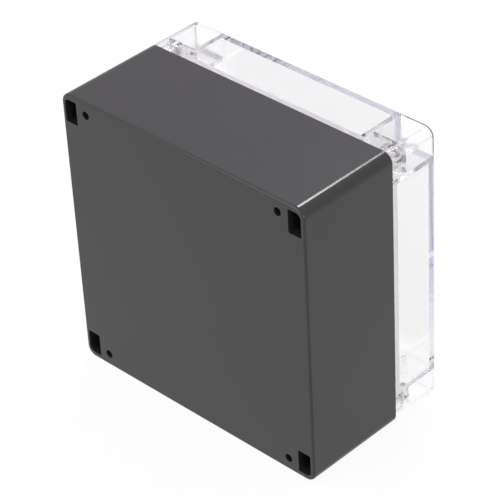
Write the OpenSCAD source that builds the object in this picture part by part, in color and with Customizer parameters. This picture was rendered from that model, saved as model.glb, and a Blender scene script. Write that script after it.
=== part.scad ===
// Sealed plastic project box, standing on one side wall.
// A dark moulded base faces the rear (-Y) and a clear screwed cover faces the front (+Y).
// Everything is drawn lying flat, rear face down on z = 0, and then turned upright by upright().

/* [Case] */
// Outer width of the case
case_width = 160; // [130:5:240]
// Outer height of the case as it stands
case_height = 160; // [130:5:240]
// Depth of the base from the rear face to the parting plane
base_depth = 60; // [40:1:90]
// Depth of the clear cover in front of the parting plane
cover_depth = 30; // [24:1:45]
// Thickness of the side walls
wall = 3; // [2.6:0.1:3.6]
// Thickness of the rear wall of the base
rear_wall = 3.5; // [2.5:0.5:5]
// Thickness of the front plate of the cover
front_plate = 3; // [2:0.5:4]
// Radius of the four upright corners
corner_r = 5.5; // [4.5:0.5:8]
// Rounding of the rear edge of the base
rear_edge_r = 1.2; // [0.5:0.1:2]
// Rounding of the front edge of the cover
front_edge_r = 1; // [0.5:0.1:1.6]

/* [Corner wells] */
// Clear width of a corner well
well_width = 17.8; // [16.5:0.1:20]
// Clear length of a corner well
well_length = 13.2; // [12.5:0.1:16]
// Wall between a corner well and the inside of the case
post_wall = 2.8; // [2.6:0.1:3.4]
// Radius of the inner corner of a well
well_inner_r = 1.5; // [0.5:0.5:3]
// Height of the well floor in the cover above the parting plane
well_floor_top = 11; // [10:0.5:14]
// Thickness of the well floor in the cover
well_floor = 3; // [2:0.25:3.5]

/* [Cover screws] */
// Distance of a screw axis from both outer side faces
screw_inset = 8; // [7.6:0.1:8.4]
// Diameter of the screw thread
screw_d = 3.5; // [3:0.5:3.5]
// Length of the screw under its head
screw_length = 16; // [15:0.5:16.5]
// Diameter of the screw head
head_d = 7; // [6:0.5:8]
// Height of the screw head
head_h = 2.6; // [2.2:0.1:3]
// Length of each arm of the cross recess, tip to tip
recess_span = 4; // [3:0.2:4.2]
// Width of each arm of the cross recess
recess_width = 1; // [0.6:0.1:1.2]
// Depth of the cross recess
recess_depth = 1.6; // [1:0.1:1.8]
// Radial clearance of the screw in the well floor
floor_hole_gap = 0.2; // [0.15:0.05:0.4]
// Radial running clearance of the screw in its insert and retainer
thread_gap = 0.05; // [0.02:0.01:0.1]

/* [Inserts and retainers] */
// Outer diameter of the brass insert
insert_d = 5.6; // [5:0.1:6.2]
// Length of the brass insert
insert_length = 6; // [5.5:0.5:8]
// Outer diameter of the ring that keeps the screw in the cover
retainer_d = 7; // [6.2:0.1:7.6]
// Thickness of that ring
retainer_t = 1.6; // [1:0.1:2]
// Radial clearance of the ring in its sleeve
retainer_gap = 0.3; // [0.2:0.05:0.4]
// Wall of the sleeve that guides the ring
sleeve_wall = 1.4; // [1.2:0.1:1.6]

/* [Seal] */
// Distance of the seal groove from the inside of the wall
groove_inset = 0.4; // [0.3:0.1:0.5]
// Width of the seal groove
groove_width = 1.6; // [1.2:0.1:1.7]
// Depth of the seal groove in the cover
groove_depth = 3.5; // [2.5:0.25:4]
// Clearance of the gasket from the sides and the floor of its groove
gasket_gap = 0.1; // [0.05:0.05:0.2]
// Thickness of the locating lip
lip_t = 1.2; // [0.8:0.1:1.6]
// Reach of the locating lip into the base
lip_reach = 2.5; // [1.5:0.25:4]
// Clearance of the locating lip inside the base
lip_gap = 0.3; // [0.25:0.05:0.5]
// Height of the lip root inside the cover
lip_root = 4.5; // [4:0.25:7]

/* [Rear face] */
// Width of a rear pocket
pocket_width = 8; // [6:0.2:8.4]
// Height of a rear pocket
pocket_height = 13; // [10:0.5:14]
// Wall between a rear pocket and the nearer side face
pocket_side_wall = 2.2; // [1.8:0.1:2.6]
// Wall between a rear pocket and the top or bottom face
pocket_end_wall = 3; // [2.6:0.1:3.6]
// Radius of the outer corner of a rear pocket
pocket_outer_r = 3; // [2:0.25:3.5]
// Radius of the other corners of a rear pocket
pocket_inner_r = 0.8; // [0.4:0.1:1.2]
// Solid left between a rear pocket and the insert above it
pocket_roof = 4; // [3:0.5:8]
// Diameter of a wall mounting hole
mount_hole_d = 4.5; // [3.2:0.1:5.2]
// Width of the well that leads to a wall mounting hole
mount_well_width = 8.2; // [7:0.1:8.4]
// Radius of the corners of that well
mount_well_r = 0.5; // [0.2:0.1:1]
// Distance of a wall mounting hole from the top or bottom face
mount_inset = 7.4; // [7.2:0.1:8.5]
// Floor left under the head of a wall mounting screw
mount_floor = 4; // [3:0.5:6]

/* [Board standoffs] */
// Diameter of a standoff
standoff_d = 7; // [6:0.5:8]
// Height of a standoff above the rear wall
standoff_h = 6; // [4:0.5:10]
// Diameter of the pilot hole in a standoff
pilot_d = 2.6; // [2:0.1:3]
// Depth of the pilot hole
pilot_depth = 6.5; // [4:0.5:7]
// Spacing of the outer standoffs across the width
outer_span_x = 124; // [60:2:124]
// Spacing of the outer standoffs up the height
outer_span_z = 100; // [60:2:100]
// Spacing of the inner standoffs across the width
inner_span_x = 80; // [30:2:90]
// Spacing of the inner standoffs up the height
inner_span_z = 64; // [30:2:70]

/* [Hidden] */
$fn = 64;

// Overshoot of a cut past the face that it opens
cut = 1;
total_depth = base_depth + cover_depth;

// Screw corners as the rear face is seen: right top, left top, left bottom, right bottom
corner_signs = [[1, -1], [-1, -1], [-1, 1], [1, 1]];

// Inner faces of the outer walls
inside_x = case_width / 2 - wall;
inside_y = case_height / 2 - wall;
// Inner corner of a well, and of the post wall that surrounds it
well_x = inside_x - well_width;
well_y = inside_y - well_length;
post_x = well_x - post_wall;
post_y = well_y - post_wall;
post_outer_r = well_inner_r + post_wall;
block_reach = well_width + well_length + 4 * wall;

screw_x = case_width / 2 - screw_inset;
screw_y = case_height / 2 - screw_inset;
well_floor_z = base_depth + well_floor_top;
sleeve_bore_r = retainer_d / 2 + retainer_gap;
head_round = 0.9;

mount_x = well_x + mount_well_width / 2;
mount_y = case_height / 2 - mount_inset;
mount_well_length = mount_y + mount_well_width / 2 - well_y;

pocket_x = case_width / 2 - pocket_side_wall - pocket_width;
pocket_y = case_height / 2 - pocket_end_wall - pocket_height;
pocket_depth = base_depth - insert_length - pocket_roof;

// Turns the flat drawing upright, centred on the width and depth, with its lowest face on z = 0
module upright() {
    translate([0, -total_depth / 2, case_height / 2])
        rotate([-90, 0, 0])
            children();
}

// Repeats one corner's features in all four corners, mirrored
module four_corners() {
    for (mx = [0, 1], my = [0, 1])
        mirror([mx, 0, 0])
            mirror([0, my, 0])
                children();
}

// Moves to the axis of screw number i
module at_screw(i) {
    translate([corner_signs[i - 1][0] * screw_x, corner_signs[i - 1][1] * screw_y, 0])
        children();
}

module rounded_square(w, h, r) {
    square([w - 2 * r, h], center = true);
    square([w, h - 2 * r], center = true);
    for (sx = [-1, 1], sy = [-1, 1])
        translate([sx * (w / 2 - r), sy * (h / 2 - r)])
            circle(r);
}

// Section through the case wall to wall, with both edges of its closed end rounded
module end_profile(w, depth, edge_r) {
    translate([-w / 2, edge_r])
        square([w, depth - edge_r]);
    translate([-(w / 2 - edge_r), 0])
        square([w - 2 * edge_r, depth]);
    for (s = [-1, 1])
        translate([s * (w / 2 - edge_r), edge_r])
            circle(edge_r);
}

// Half section of one upright corner, for a quarter turn
module corner_profile(depth, edge_r) {
    translate([0, edge_r])
        square([corner_r, depth - edge_r]);
    square([corner_r - edge_r, depth]);
    translate([corner_r - edge_r, edge_r])
        circle(edge_r);
}

// Outer form of one half of the case, solid, with its rounded closed end on z = 0
module case_form(depth, edge_r) {
    across = case_width - 2 * corner_r;
    along = case_height - 2 * corner_r;
    translate([-across / 2, 0, 0])
        rotate([90, 0, 90])
            linear_extrude(across)
                end_profile(case_height, depth, edge_r);
    translate([0, along / 2, 0])
        rotate([90, 0, 0])
            linear_extrude(along)
                end_profile(case_width, depth, edge_r);
    four_corners()
        translate([across / 2, along / 2, 0])
            rotate_extrude(angle = 90)
                corner_profile(depth, edge_r);
}

// One corner post seen from the front, its sides moved outwards by grow
module corner_block(grow) {
    r = post_outer_r - grow;
    translate([post_x + grow, post_y + grow]) {
        translate([r, 0])
            square([block_reach, block_reach]);
        translate([0, r])
            square([block_reach, block_reach]);
        translate([r, r])
            circle(r);
    }
}

// Inside of the case between the four corner posts, grown outwards by grow
module inside_outline(grow) {
    difference() {
        square([2 * (inside_x + grow), 2 * (inside_y + grow)], center = true);
        four_corners()
            corner_block(grow);
    }
}

// Band that follows the inside outline, from one distance to another
module inside_band(from, to) {
    difference() {
        inside_outline(to);
        inside_outline(from);
    }
}

// Clear section of one corner well
module well_outline() {
    intersection() {
        corner_block(post_wall);
        rounded_square(2 * inside_x, 2 * inside_y, corner_r - wall);
    }
}

// Section of one rear pocket, with its corner by the case corner more rounded
module pocket_outline() {
    far_x = pocket_x + pocket_width;
    far_y = pocket_y + pocket_height;
    r = pocket_inner_r;
    big = pocket_outer_r;
    translate([pocket_x + r, pocket_y])
        square([pocket_width - 2 * r, pocket_height - big]);
    translate([pocket_x, pocket_y + r])
        square([pocket_width - big, pocket_height - 2 * r]);
    translate([pocket_x + r, pocket_y + r])
        square([pocket_width - r, pocket_height - big - r]);
    translate([pocket_x + r, pocket_y + r])
        square([pocket_width - big - r, pocket_height - r]);
    translate([pocket_x + r, pocket_y + r])
        circle(r);
    translate([far_x - r, pocket_y + r])
        circle(r);
    translate([pocket_x + r, far_y - r])
        circle(r);
    translate([far_x - big, far_y - big])
        circle(big);
}

// Section of the well behind the cover that leads to a wall mounting hole
module mount_well_outline() {
    translate([mount_x, well_y + mount_well_length / 2])
        rounded_square(mount_well_width, mount_well_length, mount_well_r);
}

module standoff_places() {
    for (s = [[outer_span_x, outer_span_z], [inner_span_x, inner_span_z]])
        for (sx = [-1, 1], sy = [-1, 1])
            translate([sx * s[0] / 2, sy * s[1] / 2, 0])
                children();
}

// Base: one moulding with four two-cell corner posts and board standoffs
module base() {
    color("dimgray")
    upright()
    difference() {
        union() {
            difference() {
                case_form(base_depth, rear_edge_r);
                translate([0, 0, rear_wall])
                    linear_extrude(base_depth)
                        inside_outline(0);
            }
            standoff_places()
                translate([0, 0, rear_wall / 2])
                    cylinder(h = rear_wall / 2 + standoff_h, d = standoff_d);
        }
        standoff_places()
            translate([0, 0, rear_wall + standoff_h - pilot_depth])
                cylinder(h = pilot_depth + cut, d = pilot_d);
        four_corners() {
            translate([0, 0, -cut])
                linear_extrude(pocket_depth + cut)
                    pocket_outline();
            translate([0, 0, mount_floor])
                linear_extrude(base_depth)
                    mount_well_outline();
            translate([mount_x, mount_y, -cut])
                cylinder(h = mount_floor + 2 * cut, d = mount_hole_d);
            translate([screw_x, screw_y, base_depth - insert_length])
                cylinder(h = insert_length + cut, d = insert_d);
        }
    }
}

// Cover: one clear moulding with front wells, screw sleeves, seal groove and locating lip
module cover() {
    color("lightcyan")
    upright()
    difference() {
        union() {
            difference() {
                translate([0, 0, total_depth])
                    mirror([0, 0, 1])
                        case_form(cover_depth, front_edge_r);
                translate([0, 0, base_depth - cut])
                    linear_extrude(cover_depth - front_plate + cut)
                        inside_outline(0);
                four_corners() {
                    translate([0, 0, well_floor_z])
                        linear_extrude(cover_depth)
                            well_outline();
                    translate([0, 0, base_depth - cut])
                        linear_extrude(well_floor_top - well_floor + cut)
                            well_outline();
                }
            }
            four_corners()
                translate([screw_x, screw_y, base_depth])
                    cylinder(h = well_floor_top - well_floor / 2, r = sleeve_bore_r + sleeve_wall);
            translate([0, 0, base_depth])
                linear_extrude(lip_root)
                    inside_band(-lip_gap - lip_t, groove_inset / 2);
            translate([0, 0, base_depth - lip_reach])
                linear_extrude(lip_reach + lip_root)
                    inside_band(-lip_gap - lip_t, -lip_gap);
        }
        translate([0, 0, base_depth - cut])
            linear_extrude(groove_depth + cut)
                inside_band(groove_inset, groove_inset + groove_width);
        four_corners()
            translate([screw_x, screw_y, base_depth - cut]) {
                cylinder(h = well_floor_top - well_floor + cut, r = sleeve_bore_r);
                cylinder(h = well_floor_top + 2 * cut, d = screw_d + 2 * floor_hole_gap);
            }
    }
}

// Gasket: pale strip in the seal groove, seated on the rim of the base
module gasket() {
    color("white")
    upright()
    translate([0, 0, base_depth])
        linear_extrude(groove_depth - gasket_gap)
            inside_band(groove_inset + gasket_gap, groove_inset + groove_width - gasket_gap);
}

// Brass insert in the base, flush with the parting plane
module thread_insert(i) {
    color("goldenrod")
    upright()
    at_screw(i)
    translate([0, 0, base_depth - insert_length])
        difference() {
            cylinder(h = insert_length, d = insert_d);
            translate([0, 0, -cut])
                cylinder(h = insert_length + 2 * cut, d = screw_d + 2 * thread_gap);
        }
}

// Half section of a cover screw, from its tip on y = 0 to the top of its head
module screw_profile() {
    square([screw_d / 2, screw_length + head_h / 2]);
    translate([0, screw_length])
        square([head_d / 2, head_h - head_round]);
    translate([0, screw_length])
        square([head_d / 2 - head_round, head_h]);
    translate([head_d / 2 - head_round, screw_length + head_h - head_round])
        circle(head_round);
}

// Cover screw: pan head with a cross recess, seated on the well floor
module cover_screw(i) {
    color("silver")
    upright()
    at_screw(i)
    translate([0, 0, well_floor_z - screw_length])
        difference() {
            rotate_extrude()
                screw_profile();
            translate([0, 0, screw_length + head_h - recess_depth])
                linear_extrude(recess_depth + cut) {
                    square([recess_span, recess_width], center = true);
                    square([recess_width, recess_span], center = true);
                }
        }
}

// Ring on the screw under the well floor, which keeps the screw in the cover
module screw_retainer(i) {
    color("darkslategray")
    upright()
    at_screw(i)
    translate([0, 0, base_depth])
        difference() {
            cylinder(h = retainer_t, d = retainer_d);
            translate([0, 0, -cut])
                cylinder(h = retainer_t + 2 * cut, d = screw_d + 2 * thread_gap);
        }
}

base();
cover();
gasket();
thread_insert(1);  // thread_insert_1
thread_insert(2);  // thread_insert_2
thread_insert(3);  // thread_insert_3
thread_insert(4);  // thread_insert_4
cover_screw(1);  // cover_screw_1
cover_screw(2);  // cover_screw_2
cover_screw(3);  // cover_screw_3
cover_screw(4);  // cover_screw_4
screw_retainer(1);  // screw_retainer_1
screw_retainer(2);  // screw_retainer_2
screw_retainer(3);  // screw_retainer_3
screw_retainer(4);  // screw_retainer_4
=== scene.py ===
"""Looks of a sealed plastic project box: dark moulded base, clear screwed cover, pale seal.

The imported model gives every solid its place. This script dresses those solids, adds the screws'
threads and recesses, and sets the camera, the pale floor and the soft lamps of a product picture.
"""

from __future__ import annotations

import logging
import math
from abc import ABC, abstractmethod
from dataclasses import dataclass
from enum import Enum
from typing import Any, Iterable, Optional, Union

import bmesh
import bpy
from mathutils import Matrix, Vector

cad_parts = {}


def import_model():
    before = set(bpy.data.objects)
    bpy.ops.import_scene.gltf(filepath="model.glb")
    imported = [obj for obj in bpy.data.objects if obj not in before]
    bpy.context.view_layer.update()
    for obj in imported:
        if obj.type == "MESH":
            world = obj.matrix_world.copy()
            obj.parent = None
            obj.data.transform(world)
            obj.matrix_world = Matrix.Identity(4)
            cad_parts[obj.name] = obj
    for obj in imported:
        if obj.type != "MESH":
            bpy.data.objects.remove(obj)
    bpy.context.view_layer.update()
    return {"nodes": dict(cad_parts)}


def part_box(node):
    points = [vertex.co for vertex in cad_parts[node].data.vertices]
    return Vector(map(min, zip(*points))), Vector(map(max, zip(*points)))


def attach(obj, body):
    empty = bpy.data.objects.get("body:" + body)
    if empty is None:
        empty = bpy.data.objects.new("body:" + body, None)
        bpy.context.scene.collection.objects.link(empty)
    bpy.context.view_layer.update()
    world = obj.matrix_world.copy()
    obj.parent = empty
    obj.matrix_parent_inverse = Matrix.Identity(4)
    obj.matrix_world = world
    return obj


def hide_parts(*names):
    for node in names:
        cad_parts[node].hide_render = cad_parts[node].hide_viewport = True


LOG = logging.getLogger("project_box")
MM = 0.001
# Points closer together than this count as one
MERGE = 0.0005 * MM
# Level that a noise moves about
NOISE_MIDDLE = 0.5
# A linear colour, a point or a factor on each axis
Triple = tuple[float, float, float]
WHITE: Triple = (1.0, 1.0, 1.0)
# What the shader maths takes beside a socket
Operand = Union["Value", float]


class Corner(Enum):
    """The four screw corners, as the rear face is seen."""

    RIGHT_TOP = 1
    LEFT_TOP = 2
    LEFT_BOTTOM = 3
    RIGHT_BOTTOM = 4

    @property
    def number(self) -> int:
        """The number that the nodes of this corner carry."""
        return self.value


class Ray(Enum):
    """Kinds of light path that a studio surface can tell apart."""

    CAMERA = "Is Camera Ray"
    GLOSSY = "Is Glossy Ray"
    TRANSMISSION = "Is Transmission Ray"


class LampShape(Enum):
    """Outlines that a soft lamp can have."""

    RECTANGLE = "RECTANGLE"
    ELLIPSE = "ELLIPSE"


# Shader graph


@dataclass
class Value:
    """One output socket of a node tree, with the arithmetic of plain numbers."""

    tree: bpy.types.NodeTree
    socket: bpy.types.NodeSocket

    def _math(self, operation: str, *operands: Operand, clamp: bool = False) -> Value:
        """Adds one Math node.

        Args:
            operation: Name of the Math node's operation.
            *operands: Value or number on each of its sockets, in order.
            clamp: Whether the result is held between 0 and 1.

        Returns:
            The node's result.
        """
        node = self.tree.nodes.new("ShaderNodeMath")
        node.operation = operation
        node.use_clamp = clamp
        for socket, operand in zip(node.inputs, operands):
            if isinstance(operand, Value):
                self.tree.links.new(operand.socket, socket)
            else:
                socket.default_value = operand
        return Value(self.tree, node.outputs[0])

    def __add__(self, other: Operand) -> Value:
        """Sum."""
        return self._math("ADD", self, other)

    def __mul__(self, other: Operand) -> Value:
        """Product."""
        return self._math("MULTIPLY", self, other)

    __radd__ = __add__
    __rmul__ = __mul__

    def __sub__(self, other: Operand) -> Value:
        """Difference."""
        return self._math("SUBTRACT", self, other)

    def __rsub__(self, other: Operand) -> Value:
        """Difference from a number."""
        return self._math("SUBTRACT", other, self)

    def __truediv__(self, other: Operand) -> Value:
        """Quotient."""
        return self._math("DIVIDE", self, other)

    def __rtruediv__(self, other: Operand) -> Value:
        """Quotient of a number."""
        return self._math("DIVIDE", other, self)

    def __abs__(self) -> Value:
        """Size without its sign."""
        return self._math("ABSOLUTE", self)

    def clamped(self) -> Value:
        """The value held between 0 and 1."""
        return self._math("ADD", self, 0.0, clamp=True)

    def larger(self, other: Operand) -> Value:
        """The larger of two values."""
        return self._math("MAXIMUM", self, other)

    def swing(self, spread: float) -> Value:
        """A noise as a swing about zero, this wide from its lowest to its highest."""
        return (self - NOISE_MIDDLE) * spread


@dataclass(frozen=True)
class Noise:
    """A soft noise over Object coordinates.

    The scale is in waves per metre, the detail in octaves, the share is that of each further octave,
    and the stretch is a factor on each axis.
    """

    scale: float
    detail: float = 2.0
    share: float = 0.5
    stretch: Triple = (1.0, 1.0, 1.0)


@dataclass(frozen=True)
class Relief:
    """A shallow relief: its depth in metres, and the share of it that shows."""

    depth: float
    share: float = 1.0


@dataclass
class Graph:
    """Builds the nodes of one material or world."""

    tree: bpy.types.NodeTree

    def node(self, kind: str, settings: Optional[dict[str, Any]] = None, **inputs: Any) -> bpy.types.Node:
        """Adds a node, sets it up and then fills its sockets.

        Args:
            kind: Node type without its ShaderNode prefix.
            settings: Properties of the node.
            **inputs: Socket names, with underscores for spaces, and a value or link for each.

        Returns:
            The node.
        """
        made = self.tree.nodes.new(f"ShaderNode{kind}")
        for name, value in (settings or {}).items():
            setattr(made, name, value)
        for name, value in inputs.items():
            socket = self._socket(made.inputs, name)
            if isinstance(value, Value):
                self.tree.links.new(value.socket, socket)
            elif isinstance(value, bpy.types.NodeSocket):
                self.tree.links.new(value, socket)
            else:
                socket.default_value = value
        return made

    def value(
        self, kind: str, output: Union[int, str] = 0, settings: Optional[dict[str, Any]] = None, **inputs: Any
    ) -> Value:
        """Adds a node and returns one of its outputs.

        Args:
            kind: Node type without its ShaderNode prefix.
            output: Name of the output, with underscores for spaces, or its number.
            settings: As for node.
            **inputs: As for node.

        Returns:
            The chosen output.
        """
        outputs = self.node(kind, settings, **inputs).outputs
        return Value(self.tree, outputs[output] if isinstance(output, int) else self._socket(outputs, output))

    def ray(self, *kinds: Ray) -> Value:
        """One for the light paths of these kinds, and zero for the others.

        Args:
            *kinds: Kinds of light path.

        Returns:
            The mask.
        """
        path = self.node("LightPath")
        mask = Value(self.tree, path.outputs[kinds[0].value])
        for kind in kinds[1:]:
            mask = mask.larger(Value(self.tree, path.outputs[kind.value]))
        return mask

    def place(self, stretch: Triple = (1.0, 1.0, 1.0), centre: Triple = (0.0, 0.0, 0.0)) -> Value:
        """Object coordinates, centred and stretched.

        Args:
            stretch: Factor on each axis.
            centre: Point in the row frame that becomes the origin.

        Returns:
            The mapped coordinates.
        """
        shift = tuple(-s * c for s, c in zip(stretch, centre))
        return self.value("Mapping", Vector=self.value("TexCoord", "Object"), Scale=stretch, Location=shift)

    def noise(self, form: Noise) -> Value:
        """Noise over Object coordinates.

        Args:
            form: Size and make of its waves.

        Returns:
            The noise, 0 to 1.
        """
        return self.value(
            "TexNoise", Vector=self.place(form.stretch), Scale=form.scale, Detail=form.detail,
            Roughness=form.share,
        )

    def blend(self, mask: Value, low: Triple, high: Triple) -> Value:
        """A colour that runs from one to another.

        Args:
            mask: Share of the second colour.
            low: First colour, linear.
            high: Second colour, linear.

        Returns:
            The colour.
        """
        return self.value(
            "Mix", "Result_Color", {"data_type": "RGBA"}, Factor_Float=mask, A_Color=(*low, 1.0),
            B_Color=(*high, 1.0),
        )

    def bump(self, height: Value, relief: Relief, below: Optional[Value] = None) -> Value:
        """A bumped normal.

        Args:
            height: Height over the surface, 0 to 1.
            relief: Depth that this height stands for.
            below: A normal that lies under this relief.

        Returns:
            The normal.
        """
        links: dict[str, Any] = {"Height": height, "Distance": relief.depth, "Strength": relief.share}
        if below is not None:
            links["Normal"] = below
        return self.value("Bump", **links)

    @staticmethod
    def _socket(sockets: Iterable[bpy.types.NodeSocket], name: str) -> bpy.types.NodeSocket:
        """The enabled socket with that identifier, or with that name and underscores for its spaces.

        Args:
            sockets: Inputs or outputs of a node.
            name: Identifier or name of the socket.

        Returns:
            The socket.
        """
        plain = name.replace("_", " ")
        return next(s for s in sockets if s.enabled and (s.identifier == name or s.name == plain))


# Finishes


class Finish(ABC):
    """A surface that can be made into a material."""

    def build(self, name: str) -> bpy.types.Material:
        """Makes the material.

        Args:
            name: Name of the material.

        Returns:
            The material.
        """
        material = bpy.data.materials.new(name)
        material.use_nodes = True
        material.node_tree.nodes.clear()
        graph = Graph(material.node_tree)
        links = {socket: shader.outputs[0] for socket, shader in self.shaders(graph).items()}
        graph.node("OutputMaterial", **links)
        return material

    @abstractmethod
    def shaders(self, graph: Graph) -> dict[str, bpy.types.Node]:
        """Makes the shaders of the material.

        Args:
            graph: Builder of the material's nodes.

        Returns:
            The last shader for each socket of the material's output.
        """


@dataclass(frozen=True)
class CasePlastic(Finish):
    """Dark grey moulded plastic with a satin face.

    The cloud is a broad faint mottle, the grain the fine texture of the mould, and the flow the faint
    marks that the melt leaves along the depth of the case.
    """

    low: Triple = (0.0333, 0.0336, 0.0360)
    high: Triple = (0.0373, 0.0374, 0.0396)
    roughness: float = 0.20
    ior: float = 1.45
    cloud: Noise = Noise(22.0, detail=4.0, share=0.55)
    cloud_rough: float = 0.05
    grain: Noise = Noise(2600.0, share=0.6)
    grain_rough: float = 0.06
    grain_relief: Relief = Relief(0.012 * MM)
    flow: Noise = Noise(9.0, stretch=(1.0, 0.35, 1.0))
    flow_tone: float = 0.3
    flow_relief: Relief = Relief(0.04 * MM, share=0.5)

    def shaders(self, graph: Graph) -> dict[str, bpy.types.Node]:
        """Makes the satin surface.

        Args:
            graph: Builder of the material's nodes.

        Returns:
            The shader of the surface.
        """
        cloud = graph.noise(self.cloud)
        grain = graph.noise(self.grain)
        flow = graph.noise(self.flow)
        tone = cloud * (1.0 - self.flow_tone) + flow * self.flow_tone
        satin = graph.node(
            "BsdfPrincipled", Base_Color=graph.blend(tone, self.low, self.high), IOR=self.ior,
            Roughness=cloud.swing(self.cloud_rough) + grain.swing(self.grain_rough) + self.roughness,
            Normal=graph.bump(flow, self.flow_relief, below=graph.bump(grain, self.grain_relief)),
        )
        return {"Surface": satin}


@dataclass(frozen=True)
class ClearPlastic(Finish):
    """Clear plastic, polished but for its matt corner wells, and lavender along the length of a wall.

    The wells are told apart by place: beyond well_x and well_z from the middle of the cover, and inside
    its outer skin.
    """

    low: Triple = (0.994, 0.995, 0.997)
    high: Triple = (0.999, 0.999, 1.0)
    cloud: Noise = Noise(14.0, detail=3.0)
    ior: float = 1.5
    smear: Noise = Noise(60.0, detail=3.0, share=0.6)
    smear_rough: float = 0.02
    wave: Noise = Noise(26.0, detail=1.0, share=0.4)
    wave_relief: Relief = Relief(0.02 * MM, share=0.6)
    depth_colour: Triple = (0.32, 0.30, 0.53)
    depth_density: float = 3.3
    middle: Triple = (0.0, 0.0, 80.0 * MM)
    well_x: float = 54.5 * MM
    well_z: float = 59.0 * MM
    well_edge: float = 0.3 * MM
    well_rough: float = 0.18
    skin: float = 79.0 * MM

    def shaders(self, graph: Graph) -> dict[str, bpy.types.Node]:
        """Makes the clear surface and the faint tint inside.

        Args:
            graph: Builder of the material's nodes.

        Returns:
            The shaders of the surface and of the volume.
        """
        polish = graph.noise(self.smear).swing(self.smear_rough) + self.smear_rough
        clear = graph.node(
            "BsdfPrincipled", Base_Color=graph.blend(graph.noise(self.cloud), self.low, self.high),
            Roughness=polish + self._wells(graph) * self.well_rough,
            Normal=graph.bump(graph.noise(self.wave), self.wave_relief),
            IOR=self.ior, Transmission_Weight=1.0,
        )
        tint = graph.node("VolumeAbsorption", Color=(*self.depth_colour, 1.0), Density=self.depth_density)
        return {"Surface": clear, "Volume": tint}

    def _wells(self, graph: Graph) -> Value:
        """One on the corner wells, which the mould leaves matt, and zero on all the polished faces.

        Args:
            graph: Builder of the material's nodes.

        Returns:
            The mask.
        """
        axes = graph.node("SeparateXYZ", Vector=graph.place(centre=self.middle))
        across, upright = (abs(Value(graph.tree, axes.outputs[axis])) for axis in "XZ")
        inner = self._past(self.skin - across.larger(upright))
        return inner * self._past(across - self.well_x) * self._past(upright - self.well_z)

    def _past(self, distance: Value) -> Value:
        """One where a distance is past zero by the soft edge of the wells, and zero before it."""
        return (distance / self.well_edge).clamped()


@dataclass(frozen=True)
class GasketRubber(Finish):
    """White matt silicone rubber."""

    low: Triple = (0.965, 0.972, 0.988)
    high: Triple = (0.990, 0.994, 1.000)
    roughness: float = 0.7
    cloud: Noise = Noise(120.0, detail=3.0, share=0.6)
    cloud_rough: float = 0.15
    grain: Noise = Noise(1800.0)
    grain_relief: Relief = Relief(0.02 * MM)

    def shaders(self, graph: Graph) -> dict[str, bpy.types.Node]:
        """Makes the matt surface.

        Args:
            graph: Builder of the material's nodes.

        Returns:
            The shader of the surface.
        """
        cloud = graph.noise(self.cloud)
        matt = graph.node(
            "BsdfPrincipled", Base_Color=graph.blend(cloud, self.low, self.high),
            Roughness=cloud.swing(self.cloud_rough) + self.roughness,
            Normal=graph.bump(graph.noise(self.grain), self.grain_relief),
        )
        return {"Surface": matt}


@dataclass(frozen=True)
class TurnedMetal(Finish):
    """Bright turned or plated metal, with the fine rings of the tool one behind the other."""

    low: Triple
    high: Triple
    roughness: float
    cloud: Noise = Noise(400.0, detail=3.0, share=0.6)
    rings: Noise = Noise(300.0, stretch=(1.0, 30.0, 1.0))
    rings_rough: float = 0.12
    rings_relief: Relief = Relief(0.008 * MM)

    def shaders(self, graph: Graph) -> dict[str, bpy.types.Node]:
        """Makes the ringed metal surface.

        Args:
            graph: Builder of the material's nodes.

        Returns:
            The shader of the surface.
        """
        rings = graph.noise(self.rings)
        metal = graph.node(
            "BsdfPrincipled", Base_Color=graph.blend(graph.noise(self.cloud), self.low, self.high),
            Roughness=rings.swing(self.rings_rough) + self.roughness,
            Normal=graph.bump(rings, self.rings_relief), Metallic=1.0,
        )
        return {"Surface": metal}


@dataclass(frozen=True)
class NaturalNylon(Finish):
    """Cream white nylon, slightly waxy."""

    low: Triple = (0.66, 0.66, 0.63)
    high: Triple = (0.74, 0.74, 0.71)
    roughness: float = 0.42
    cloud: Noise = Noise(300.0, detail=3.0, share=0.6)
    cloud_rough: float = 0.1
    cloud_relief: Relief = Relief(0.01 * MM)

    def shaders(self, graph: Graph) -> dict[str, bpy.types.Node]:
        """Makes the waxy surface.

        Args:
            graph: Builder of the material's nodes.

        Returns:
            The shader of the surface.
        """
        cloud = graph.noise(self.cloud)
        waxy = graph.node(
            "BsdfPrincipled", Base_Color=graph.blend(cloud, self.low, self.high),
            Roughness=cloud.swing(self.cloud_rough) + self.roughness,
            Normal=graph.bump(cloud, self.cloud_relief),
        )
        return {"Surface": waxy}


@dataclass(frozen=True)
class StudioPaper(Finish):
    """White paper that shows as the pale ground and keeps the soft shadow."""

    paper: float = 0.12
    fibre: Noise = Noise(40.0)
    fibre_tone: float = 0.01
    glow: float = 0.92

    def shaders(self, graph: Graph) -> dict[str, bpy.types.Node]:
        """Makes the paper, and its glow for the rays that look at it.

        Args:
            graph: Builder of the material's nodes.

        Returns:
            The shader of the surface.
        """
        tone = graph.noise(self.fibre).swing(self.fibre_tone) + self.paper
        paper = graph.node("BsdfDiffuse", Color=graph.value("CombineColor", Red=tone, Green=tone, Blue=tone))
        glow = graph.node("Emission", Color=(*WHITE, 1.0), Strength=self.glow)
        dark = graph.node("Emission", Strength=0.0)
        seen = graph.ray(Ray.CAMERA, Ray.GLOSSY, Ray.TRANSMISSION)
        shown = graph.node("MixShader", Fac=seen, Shader=dark.outputs[0], Shader_001=glow.outputs[0])
        return {"Surface": graph.node("AddShader", Shader=paper.outputs[0], Shader_001=shown.outputs[0])}


# Sub-assemblies


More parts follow.
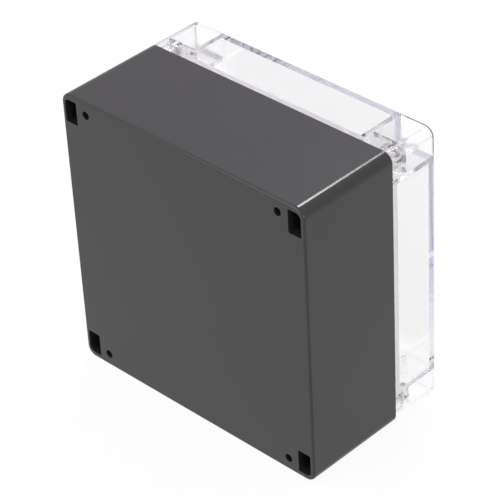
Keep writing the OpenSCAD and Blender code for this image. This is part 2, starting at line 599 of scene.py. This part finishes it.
def add_object(name: str, data: bpy.types.ID) -> bpy.types.Object:
    """Puts an object into the scene, at the origin.

    Args:
        name: Name of the object.
        data: Its mesh, camera or lamp.

    Returns:
        The object.
    """
    made = bpy.data.objects.new(name, data)
    bpy.context.scene.collection.objects.link(made)
    return made


def add_mesh(name: str, bm: bmesh.types.BMesh) -> bpy.types.Object:
    """Puts a finished mesh into the scene, and frees its builder.

    Args:
        name: Name of the object and of its mesh.
        bm: Builder of the mesh.

    Returns:
        The object.
    """
    mesh = bpy.data.meshes.new(name)
    bm.to_mesh(mesh)
    bm.free()
    return add_object(name, mesh)


def dress(obj: bpy.types.Object, material: bpy.types.Material) -> None:
    """Gives an object one material in all its slots.

    Args:
        obj: Object to dress.
        material: Its finish.
    """
    slots = obj.data.materials
    if not slots:
        slots.append(material)
    for number in range(len(slots)):
        slots[number] = material
    LOG.info("%s dressed in %s", obj.name, material.name)


@dataclass
class CaseBase:
    """The dark moulded base with its brass thread inserts."""

    nodes: dict[str, bpy.types.Object]
    plastic: CasePlastic = CasePlastic()
    brass: TurnedMetal = TurnedMetal(low=(0.62, 0.42, 0.14), high=(0.74, 0.54, 0.22), roughness=0.28)

    def build(self) -> None:
        """Dresses the base and its inserts."""
        dress(self.nodes["base"], self.plastic.build("case_plastic_satin"))
        brass = self.brass.build("turned_brass")
        for corner in Corner:
            dress(self.nodes[f"thread_insert_{corner.number}"], brass)


@dataclass
class ClearCover:
    """The clear cover with the seal in its groove."""

    nodes: dict[str, bpy.types.Object]
    plastic: ClearPlastic = ClearPlastic()
    rubber: GasketRubber = GasketRubber()
    air_film: float = 0.03 * MM

    def build(self) -> None:
        """Dresses the cover and its gasket."""
        dress(self.nodes["cover"], self.plastic.build("clear_cover_plastic"))
        dress(self.nodes["gasket"], self.rubber.build("pale_silicone"))
        self._part_from_base(self.nodes["cover"])

    def _part_from_base(self, cover: bpy.types.Object) -> None:
        """Leaves a film of air between the seat of the cover and the rim of the base.

        Two mouldings never touch all over, and light inside the clear wall turns back at that film.

        Args:
            cover: The clear cover.
        """
        seat_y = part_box("base")[1].y
        seat = cover.vertex_groups.new(name="seat")
        seat.add([v.index for v in cover.data.vertices if abs(v.co.y - seat_y) < MERGE], 1.0, "REPLACE")
        film = cover.modifiers.new("air_film", "DISPLACE")
        film.direction = "Y"
        film.mid_level = 0.0
        film.strength = self.air_film
        film.vertex_group = seat.name


@dataclass(frozen=True)
class ScrewForm:
    """Form of one pan head screw, drawn on the Z axis with the underside of its head on z = 0."""

    length: float = 16.0 * MM
    shank_r: float = 1.75 * MM
    thread_length: float = 8.4 * MM
    pitch: float = 0.6 * MM
    crest_r: float = 1.73 * MM
    root_r: float = 1.40 * MM
    crest_flat: float = 0.08 * MM
    flank: float = 0.19 * MM
    turn_steps: int = 24
    turns_below: int = 2
    turns_above: int = 1
    tip_length: float = 0.5 * MM
    tip_top_r: float = 1.30 * MM
    tip_r: float = 1.05 * MM
    head_r: float = 3.5 * MM
    head_height: float = 2.6 * MM
    head_round: float = 0.9 * MM
    head_round_steps: int = 6
    head_steps: int = 48
    recess_ring_r: float = 2.3 * MM
    recess_span: float = 4.0 * MM
    recess_width: float = 1.0 * MM
    recess_depth: float = 1.0 * MM
    recess_taper: float = 0.72
    recess_point: float = 0.55 * MM
    smooth_angle: float = math.radians(34.0)

    @property
    def thread_bottom(self) -> float:
        """Height of the lower end of the thread."""
        return self.tip_length - self.length

    @property
    def thread_top(self) -> float:
        """Height at which the thread runs out into the shank."""
        return self.thread_bottom + self.thread_length

    def build(self) -> bmesh.types.BMesh:
        """Makes the whole screw as one closed skin.

        Returns:
            The mesh, to be freed by the caller.
        """
        bm = bmesh.new()
        self._head(bm)
        self._thread(bm)
        self._tip(bm)
        self._recess(bm)
        bmesh.ops.remove_doubles(bm, verts=bm.verts, dist=MERGE)
        bmesh.ops.recalc_face_normals(bm, faces=bm.faces)
        return bm

    def _head(self, bm: bmesh.types.BMesh) -> None:
        """Spins the shank and the head, and rounds the head's upper edge.

        Args:
            bm: Mesh to add to.
        """
        section = (
            (self.shank_r, self.thread_top), (self.shank_r, 0.0), (self.head_r, 0.0),
            (self.head_r, self.head_height), (self.recess_ring_r, self.head_height),
        )
        self._spin(bm, section, self.head_steps, 2.0 * math.pi, (0.0, 0.0, 0.0), True)
        rim = [e for e in bm.edges if all(self._near(v, self.head_r, self.head_height) for v in e.verts)]
        bmesh.ops.bevel(
            bm, geom=rim, affect="EDGES", offset=self.head_round, offset_type="OFFSET",
            segments=self.head_round_steps, profile=0.5, material=-1,
        )

    def _thread(self, bm: bmesh.types.BMesh) -> None:
        """Winds the thread past both its ends, cuts it level there and joins it to the shank.

        Args:
            bm: Mesh to add to.
        """
        start = self.thread_bottom - self.turns_below * self.pitch
        crest = start + self.flank
        section = (
            (self.root_r, start), (self.crest_r, crest), (self.crest_r, crest + self.crest_flat),
            (self.root_r, crest + self.crest_flat + self.flank), (self.root_r, start + self.pitch),
        )
        turns = self.turns_below + math.ceil(self.thread_length / self.pitch) + self.turns_above
        rise = (0.0, 0.0, self.pitch / self.turn_steps)
        before = set(bm.verts)
        self._spin(bm, section, turns * self.turn_steps, turns * 2.0 * math.pi, rise, False)
        bmesh.ops.remove_doubles(bm, verts=[v for v in bm.verts if v not in before], dist=MERGE)
        for height, outwards in ((self.thread_bottom, -1.0), (self.thread_top, 1.0)):
            verts = [v for v in bm.verts if v not in before]
            edges = self._unique(e for v in verts for e in v.link_edges)
            faces = self._unique(f for v in verts for f in v.link_faces)
            bmesh.ops.bisect_plane(
                bm, geom=[*verts, *edges, *faces], dist=MERGE, plane_co=(0.0, 0.0, height),
                plane_no=(0.0, 0.0, outwards), clear_outer=True,
            )
        self._fill(bm, self.thread_top)

    def _tip(self, bm: bmesh.types.BMesh) -> None:
        """Closes the thread with a short plain point.

        Args:
            bm: Mesh to add to.
        """
        bottom = Matrix.Translation((0.0, 0.0, self.thread_bottom))
        ring = bmesh.ops.create_circle(bm, segments=self.turn_steps, radius=self.tip_top_r, matrix=bottom)
        ring_edges = self._unique(e for v in ring["verts"] for e in v.link_edges)
        self._fill(bm, self.thread_bottom)
        lower = bmesh.ops.extrude_edge_only(bm, edges=ring_edges)["geom"]
        verts = self._only(bmesh.types.BMVert, lower)
        shrink = self.tip_r / self.tip_top_r
        bmesh.ops.scale(bm, vec=(shrink, shrink, 1.0), verts=verts)
        bmesh.ops.translate(bm, vec=(0.0, 0.0, -self.tip_length), verts=verts)
        bmesh.ops.edgeloop_fill(bm, edges=self._only(bmesh.types.BMEdge, lower))

    def _cross(self, bm: bmesh.types.BMesh) -> list[bmesh.types.BMFace]:
        """Lays a flat cross over the open top of the head.

        Args:
            bm: Mesh to add to.

        Returns:
            The faces of the cross.
        """
        before = set(bm.verts)
        top = Matrix.Translation((0.0, 0.0, self.head_height))
        half_span = self.recess_span / 2.0
        half_width = self.recess_width / 2.0
        bmesh.ops.create_grid(bm, x_segments=3, y_segments=3, size=half_span, matrix=top)
        verts = [v for v in bm.verts if v not in before]
        for vert in verts:
            for axis in (0, 1):
                reach = half_span if abs(vert.co[axis]) > half_span / 2.0 else half_width
                vert.co[axis] = math.copysign(reach, vert.co[axis])
        squares = self._unique(f for v in verts for f in v.link_faces)
        corners = [f for f in squares if min(map(abs, f.calc_center_median().xy)) > half_width]
        bmesh.ops.delete(bm, geom=corners, context="FACES")
        return [f for f in bm.faces if any(v not in before for v in f.verts)]

    def _recess(self, bm: bmesh.types.BMesh) -> None:
        """Closes the top of the head and sinks the tapered cross recess into it.

        Args:
            bm: Mesh to add to.
        """
        cross = self._cross(bm)
        self._fill(bm, self.head_height)
        floor = bmesh.ops.extrude_face_region(bm, geom=cross)["geom"]
        # The extrusion leaves the faces that it started from, and they would close the recess
        bmesh.ops.delete(bm, geom=cross, context="FACES")
        verts = self._only(bmesh.types.BMVert, floor)
        faces = self._only(bmesh.types.BMFace, floor)
        bmesh.ops.scale(bm, vec=(self.recess_taper, self.recess_taper, 1.0), verts=verts)
        bmesh.ops.translate(bm, vec=(0.0, 0.0, -self.recess_depth), verts=verts)
        middle = [f for f in faces if f.calc_center_median().xy.length < MERGE]
        point = bmesh.ops.poke(bm, faces=middle)["verts"]
        bmesh.ops.translate(bm, vec=(0.0, 0.0, -self.recess_point), verts=point)

    def _fill(self, bm: bmesh.types.BMesh, height: float) -> None:
        """Fills the flat ring between the open loops at one height.

        Args:
            bm: Mesh to work on.
            height: Height of the loops.
        """
        open_edges = [e for e in bm.edges if len(e.link_faces) < 2]
        loops = [e for e in open_edges if all(abs(v.co.z - height) < MERGE for v in e.verts)]
        bmesh.ops.triangle_fill(bm, use_beauty=True, use_dissolve=False, edges=loops, normal=(0.0, 0.0, 1.0))

    @staticmethod
    def _unique(parts: Iterable[Any]) -> list[Any]:
        """The parts without repeats, in the order in which they came, which a set doesn't keep."""
        return list(dict.fromkeys(parts))

    @staticmethod
    def _only(kind: type, parts: list[Any]) -> list[Any]:
        """The vertices, edges or faces among the parts that an operator returns."""
        return [part for part in parts if isinstance(part, kind)]

    @staticmethod
    def _near(vert: bmesh.types.BMVert, radius: float, height: float) -> bool:
        """Whether a vertex lies on a circle round the axis."""
        return abs(vert.co.xy.length - radius) < MERGE and abs(vert.co.z - height) < MERGE

    @staticmethod
    def _spin(
        bm: bmesh.types.BMesh, section: Iterable[tuple[float, float]], steps: int, angle: float, rise: Triple,
        closed: bool,
    ) -> None:
        """Spins an open section about the Z axis.

        Args:
            bm: Mesh to add to.
            section: Radius and height of each point, in order.
            steps: Steps of the whole spin.
            angle: Angle of the whole spin.
            rise: Way that each step moves along.
            closed: Whether the spin ends where it starts.
        """
        verts = [bm.verts.new((radius, 0.0, height)) for radius, height in section]
        edges = [bm.edges.new(pair) for pair in zip(verts, verts[1:])]
        bmesh.ops.spin(
            bm, geom=[*verts, *edges], cent=(0.0, 0.0, 0.0), axis=(0.0, 0.0, 1.0), dvec=rise, angle=angle,
            steps=steps, use_merge=closed,
        )


@dataclass
class CoverScrews:
    """The four cover screws and the rings that keep them in the cover."""

    nodes: dict[str, bpy.types.Object]
    form: ScrewForm = ScrewForm()
    seat_gap: float = 0.03 * MM
    steel: TurnedMetal = TurnedMetal(low=(0.68, 0.68, 0.69), high=(0.78, 0.78, 0.79), roughness=0.24)
    nylon: NaturalNylon = NaturalNylon()

    def build(self) -> None:
        """Makes the screws and dresses them and their rings."""
        steel = self.steel.build("plated_steel")
        nylon = self.nylon.build("natural_nylon")
        for corner in Corner:
            self._screw(corner, steel)
            dress(self.nodes[f"screw_retainer_{corner.number}"], nylon)

    def _screw(self, corner: Corner, steel: bpy.types.Material) -> None:
        """Makes one screw in its corner, its head a hair off the floor of its well.

        Args:
            corner: Corner of the case.
            steel: Its finish.
        """
        node = f"cover_screw_{corner.number}"
        low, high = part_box(node)
        seat_y = high.y - self.form.head_height + self.seat_gap
        place = Matrix.Translation(((low.x + high.x) / 2.0, seat_y, (low.z + high.z) / 2.0))
        head_to_front = Matrix.Rotation(-math.pi / 2.0, 4, "X")
        bm = self.form.build()
        bmesh.ops.transform(bm, matrix=place @ head_to_front, verts=bm.verts)
        screw = add_mesh(f"threaded_screw_{corner.number}", bm)
        screw.data.shade_smooth()
        screw.data.set_sharp_from_angle(angle=self.form.smooth_angle)
        dress(screw, steel)
        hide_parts(node)
        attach(screw, f"screw_{corner.number}")


# Studio


@dataclass(frozen=True)
class PhotoCamera:
    """The camera of the picture, from a fit to the case's edges and to its rear pockets and holes.

    It is turned about the middle of the rear face, and stands right, up and back from there along its own
    axes. Its azimuth grows to the right, as the rear face is seen. Angles are in radians, the lens and its
    sensor in millimetres, and the other lengths in metres.
    """

    azimuth: float = 0.79545
    elevation: float = 0.61710
    roll: float = 0.05563
    right: float = 30.1424 * MM
    up: float = 18.1648 * MM
    back: float = 1170.8 * MM
    lens: float = 174.37248
    sensor: float = 36.0
    near: float = 0.05
    far: float = 40.0

    def build(self) -> None:
        """Makes the camera and makes it the scene's."""
        low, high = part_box("base")
        rear_middle = Matrix.Translation(((low.x + high.x) / 2.0, low.y, (low.z + high.z) / 2.0))
        around = Matrix.Rotation(self.azimuth, 4, "Z")
        tilt = Matrix.Rotation(math.pi / 2.0 - self.elevation, 4, "X")
        lean = Matrix.Rotation(-self.roll, 4, "Z")
        away = Matrix.Translation((self.right, self.up, self.back))
        data = bpy.data.cameras.new("photo_camera")
        data.sensor_width = self.sensor
        data.lens = self.lens
        data.clip_start = self.near
        data.clip_end = self.far
        camera = add_object("photo_camera", data)
        camera.matrix_world = rear_middle @ around @ tilt @ lean @ away
        bpy.context.scene.camera = camera
        spot = tuple(round(v, 3) for v in camera.matrix_world.translation)
        LOG.info("camera at %s, lens %.1f mm", spot, data.lens)


@dataclass(frozen=True)
class SoftLamp:
    """One soft lamp that aims at the middle of the case, with its power in watts."""

    name: str
    spot: Triple
    size: tuple[float, float]
    power: float
    colour: Triple = WHITE
    shape: LampShape = LampShape.RECTANGLE
    aim: Triple = (0.0, 0.0, 80.0 * MM)

    def build(self) -> None:
        """Makes the lamp."""
        data = bpy.data.lights.new(self.name, "AREA")
        data.shape = self.shape.value
        data.size, data.size_y = self.size
        data.energy = self.power
        data.color = self.colour
        lamp = add_object(self.name, data)
        way = Vector(self.aim) - Vector(self.spot)
        lamp.matrix_world = Matrix.Translation(self.spot) @ way.to_track_quat("-Z", "Y").to_matrix().to_4x4()
        LOG.info("lamp %s, %.1f W", self.name, self.power)


@dataclass
class Studio:
    """Pale floor, white surroundings and soft lamps."""

    ambient: float = 0.52
    sky: Triple = (0.98, 0.92, 0.97)
    floor_half: float = 6.0
    clear_bounces: int = 64
    gloss_bounces: int = 32
    paper: StudioPaper = StudioPaper()
    lamps: tuple[SoftLamp, ...] = (
        SoftLamp("key_left", (-1.3, -1.4, 1.7), size=(1.2, 1.2), power=5.0),
        SoftLamp("rear_low", (-0.8, -2.2, 0.5), size=(1.4, 0.9), power=17.0, colour=(0.87, 0.90, 1.0)),
        SoftLamp("fill_right", (2.0, -0.4, 0.5), size=(1.2, 0.8), power=8.7, colour=(1.0, 0.96, 0.86)),
        SoftLamp("edge_soft", (-0.67, 1.06, 1.66), size=(0.50, 0.42), power=11.5, shape=LampShape.ELLIPSE),
    )

    def build(self) -> None:
        """Makes the floor, the world and the lamps."""
        self._floor()
        self._world()
        for lamp in self.lamps:
            lamp.build()
        scene = bpy.context.scene
        scene.view_settings.view_transform = "Standard"
        scene.cycles.max_bounces = self.clear_bounces
        scene.cycles.transmission_bounces = self.clear_bounces
        scene.cycles.glossy_bounces = self.gloss_bounces

    def _floor(self) -> None:
        """Makes the flat floor under the case."""
        bm = bmesh.new()
        bmesh.ops.create_grid(bm, x_segments=1, y_segments=1, size=self.floor_half)
        floor = add_mesh("studio_floor", bm)
        dress(floor, self.paper.build("studio_paper"))

    def _world(self) -> None:
        """Makes the white surroundings, which light the case at a plain level."""
        world = bpy.data.worlds.new("studio_world")
        bpy.context.scene.world = world
        world.use_nodes = True
        world.node_tree.nodes.clear()
        graph = Graph(world.node_tree)
        seen = graph.ray(Ray.CAMERA, Ray.GLOSSY, Ray.TRANSMISSION)
        strength = seen * (1.0 - self.ambient) + self.ambient
        tint = graph.blend(graph.ray(Ray.GLOSSY), WHITE, self.sky)
        background = graph.node("Background", Color=tint, Strength=strength)
        graph.node("OutputWorld", Surface=background.outputs[0])


def main() -> None:
    """Builds the dressed project box and its studio, in order."""
    logging.basicConfig(level=logging.INFO, format="%(name)s: %(message)s")
    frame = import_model()
    nodes = frame["nodes"]
    PhotoCamera().build()
    CaseBase(nodes).build()
    ClearCover(nodes).build()
    CoverScrews(nodes).build()
    Studio().build()


if __name__ == "__main__":
    main()
